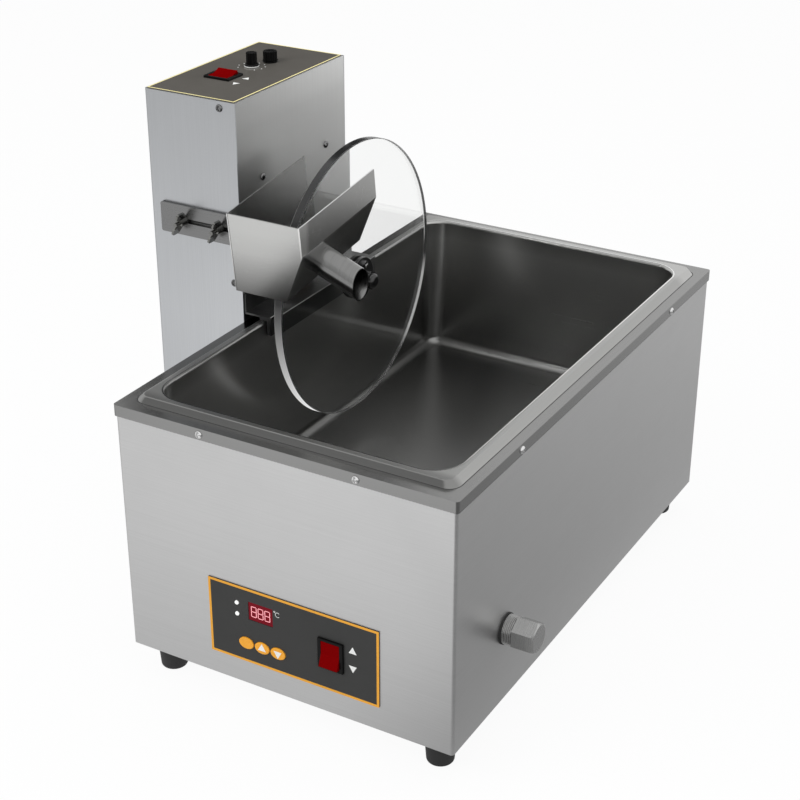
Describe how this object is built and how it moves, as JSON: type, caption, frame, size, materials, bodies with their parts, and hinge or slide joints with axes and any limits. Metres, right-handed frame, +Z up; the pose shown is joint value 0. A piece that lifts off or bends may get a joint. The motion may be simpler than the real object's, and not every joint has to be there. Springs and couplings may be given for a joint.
{
  "type": "chocolate tempering machine",
  "caption": "Countertop chocolate tempering machine: heated pan base with front controls, and a side tower that turns a clear disc through a tipped scraper hopper with a spout.",
  "frame": {"origin": "on the table, under the middle of the machine's box", "axes": "+Z up, -Y towards the control fascia at the front, +X towards the drain; the tower stands at -X"},
  "size_m": [0.4802, 0.5794, 0.5159],
  "materials": {
    "brushed_sheet": "brushed stainless sheet",
    "pan_steel": "satin drawn stainless",
    "hopper_steel": "brushed stainless sheet",
    "bright_steel": "bright plated",
    "turned_steel": "turned stainless",
    "clear_disc": "clear polished sheet with ground rim",
    "black_rubber": "matte",
    "fascia_grey": "satin printed label plate",
    "black_plastic": "fine moulded",
    "switch_red": "translucent gloss",
    "display_red": "red filter",
    "lamp_white": "diffused lens",
    "key_orange": "gloss",
    "board_green": "solder resist",
    "block_white": "moulded",
    "cast_alloy": "cast",
    "motor_black": "black paint",
    "bush_bronze": "turned"
  },
  "bodies": {
    "machine": {"housing_wrap": "brushed_sheet", "bottom_plate": "brushed_sheet", "top_cover": "brushed_sheet", "cover_screws": "bright_steel", "food_pan": "pan_steel", "bath_tank": "pan_steel", "heating_element": "turned_steel", "temperature_probe": "turned_steel", "drain_elbow": "turned_steel", "drain_seal": "black_rubber", "base_feet": "black_rubber", "control_fascia": "fascia_grey", "control_board": "board_green", "display_module": "display_red", "indicator_leds": "lamp_white", "key_switches": "black_plastic", "base_switch_body": "black_plastic", "terminal_block": "block_white", "base_gland": "black_plastic", "tower_wrap": "brushed_sheet", "tower_side_panel": "brushed_sheet", "tower_top_plate": "brushed_sheet", "tower_floor": "brushed_sheet", "tower_feet": "black_rubber", "tower_screws": "bright_steel", "tower_fascia": "fascia_grey", "tower_switch_body": "black_plastic", "speed_potentiometer": "turned_steel", "fuse_holder": "black_plastic", "motor_bracket": "brushed_sheet", "bracket_screws": "bright_steel", "shaft_bush": "bush_bronze", "gearbox": "cast_alloy", "gear_motor": "motor_black", "speed_board": "board_green", "tower_gland": "black_plastic", "rim_hanger": "hopper_steel", "hanger_pad": "black_rubber", "clamp_studs": "bright_steel"},
    "mixing_wheel": {"drive_shaft": "turned_steel", "mixing_disc": "clear_disc", "hub_inner_flange": "turned_steel", "hub_clamp_flange": "turned_steel", "hub_screws": "bright_steel", "hub_nut": "bright_steel"},
    "scraper": {"scraper_hopper": "hopper_steel", "spout_tube": "hopper_steel", "slotted_bar": "hopper_steel"},
    "base_rocker": {"base_switch_rocker": "switch_red"},
    "tower_rocker": {"tower_switch_rocker": "switch_red"},
    "knob": {"speed_knob": "black_plastic"},
    "fuse": {"fuse_cap": "black_plastic"},
    "set_key": {"key_set": "key_orange"},
    "rise_key": {"key_rise": "key_orange"},
    "fall_key": {"key_fall": "key_orange"},
    "left_wing_nut": {"wing_nut_left": "bright_steel"},
    "right_wing_nut": {"wing_nut_right": "bright_steel"},
    "plug": {"drain_plug": "turned_steel"}
  },
  "joints": [
    {"name": "wheel_spin", "type": "hinge", "parent": "machine", "child": "mixing_wheel", "pos_m": [-0.06305, 0.01592, 0.3103], "axis": [1, 0, 0], "continuous": true},
    {"name": "scraper_slide", "type": "slide", "parent": "machine", "child": "scraper", "axis": [1, 0, 0], "range_m": [-0.002, 0.002]},
    {"name": "base_rocker_tip", "type": "hinge", "parent": "machine", "child": "base_rocker", "pos_m": [0.08645, -0.28288, 0.094], "axis": [1, 0, 0], "range_deg": [0, 20]},
    {"name": "tower_rocker_tip", "type": "hinge", "parent": "machine", "child": "tower_rocker", "pos_m": [-0.19605, -0.01288, 0.5014], "axis": [-1, 0, 0], "range_deg": [0, 20]},
    {"name": "knob_turn", "type": "hinge", "parent": "machine", "child": "knob", "pos_m": [-0.19205, 0.02962, 0.502], "axis": [0, 0, 1], "range_deg": [-150, 150]},
    {"name": "fuse_turn", "type": "hinge", "parent": "machine", "child": "fuse", "pos_m": [-0.18605, 0.05312, 0.502], "axis": [0, 0, 1], "range_deg": [0, 60]},
    {"name": "set_key_press", "type": "slide", "parent": "machine", "child": "set_key", "axis": [0, 1, 0], "range_m": [0, 0.0006], "stiffness_N_per_m": 400},
    {"name": "rise_key_press", "type": "slide", "parent": "machine", "child": "rise_key", "axis": [0, 1, 0], "range_m": [0, 0.0006], "stiffness_N_per_m": 400},
    {"name": "fall_key_press", "type": "slide", "parent": "machine", "child": "fall_key", "axis": [0, 1, 0], "range_m": [0, 0.0006], "stiffness_N_per_m": 400},
    {"name": "left_nut_turn", "type": "hinge", "parent": "machine", "child": "left_wing_nut", "pos_m": [-0.19905, -0.08343, 0.377], "axis": [0, 1, 0], "continuous": true},
    {"name": "right_nut_turn", "type": "hinge", "parent": "machine", "child": "right_wing_nut", "pos_m": [-0.15705, -0.08343, 0.377], "axis": [0, 1, 0], "continuous": true},
    {"name": "plug_draw", "type": "slide", "parent": "machine", "child": "plug", "axis": [1, 0, 0], "range_m": [0, 0.022]}
  ]
}
